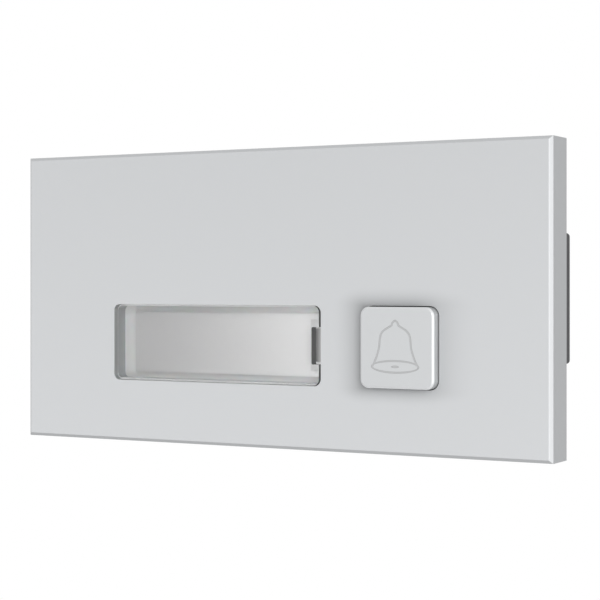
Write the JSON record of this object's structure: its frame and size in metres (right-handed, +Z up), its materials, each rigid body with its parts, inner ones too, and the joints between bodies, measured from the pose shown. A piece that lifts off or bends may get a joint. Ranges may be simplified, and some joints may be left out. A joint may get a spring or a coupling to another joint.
{
  "type": "doorbell push button",
  "caption": "Flush wall bell push: pale aluminium plate with a clear name window over a card and a square sprung button with an engraved bell.",
  "frame": {"origin": "centre of the front plate's back rim, on the wall's surface", "axes": "+X to the right along the plate, +Y into the wall, +Z up; the face looks along -Y"},
  "size_m": [0.16, 0.0323, 0.08],
  "materials": {
    "anodised_aluminium": "satin anodised",
    "clear_acrylic": "clear, polished",
    "card_stock": "uncoated pale card",
    "opal_plastic": "opal, fine matt",
    "black_plastic": "fine spark texture",
    "housing_plastic": "dark grey, fine spark texture",
    "silicone": "matt",
    "foam": "closed-cell foam",
    "spring_steel": "drawn wire",
    "zinc_steel": "bright zinc plated",
    "brass": "turned",
    "board_laminate": "green solder mask",
    "lamp_resin": "cast resin",
    "chip_ceramic": "moulded, tinned ends",
    "terminal_plastic": "grey moulding"
  },
  "bodies": {
    "housing": {"front_cover": "anodised_aluminium", "name_card": "card_stock", "card_tray": "opal_plastic", "button_seal": "silicone", "button_guide": "black_plastic", "retainer_screws": "zinc_steel", "return_springs": "spring_steel", "switch_body": "black_plastic", "circuit_board": "board_laminate", "board_spacers": "brass", "board_screws": "zinc_steel", "card_lights": "lamp_resin", "lamp_resistors": "chip_ceramic", "bridge_rectifier": "chip_ceramic", "terminal_block": "terminal_plastic", "wire_clamps": "brass", "terminal_screws": "zinc_steel", "rear_housing": "housing_plastic", "cable_grommet": "silicone", "mounting_plate": "zinc_steel", "housing_screws": "zinc_steel", "wall_gasket": "foam", "grub_screws": "zinc_steel"},
    "button": {"push_button": "anodised_aluminium", "button_carrier": "black_plastic", "carrier_screws": "zinc_steel"},
    "switch_plunger": {"switch_plunger": "terminal_plastic"},
    "window": {"name_window": "clear_acrylic"}
  },
  "joints": [
    {"name": "button_press", "type": "slide", "parent": "housing", "child": "button", "axis": [0, 1, 0], "range_m": [0, 0.0015], "stiffness_N_per_m": 600, "springref_m": -0.002, "deforming": ["return_springs"]},
    {"name": "switch_press", "type": "slide", "parent": "housing", "child": "switch_plunger", "axis": [0, 1, 0], "range_m": [0, 0.00155]},
    {"name": "window_lift", "type": "slide", "parent": "housing", "child": "window", "axis": [0, -1, 0], "range_m": [0, 0.012]}
  ],
  "couplings": [
    {"joint": "switch_press", "follows": "button_press", "ratio": 1}
  ]
}
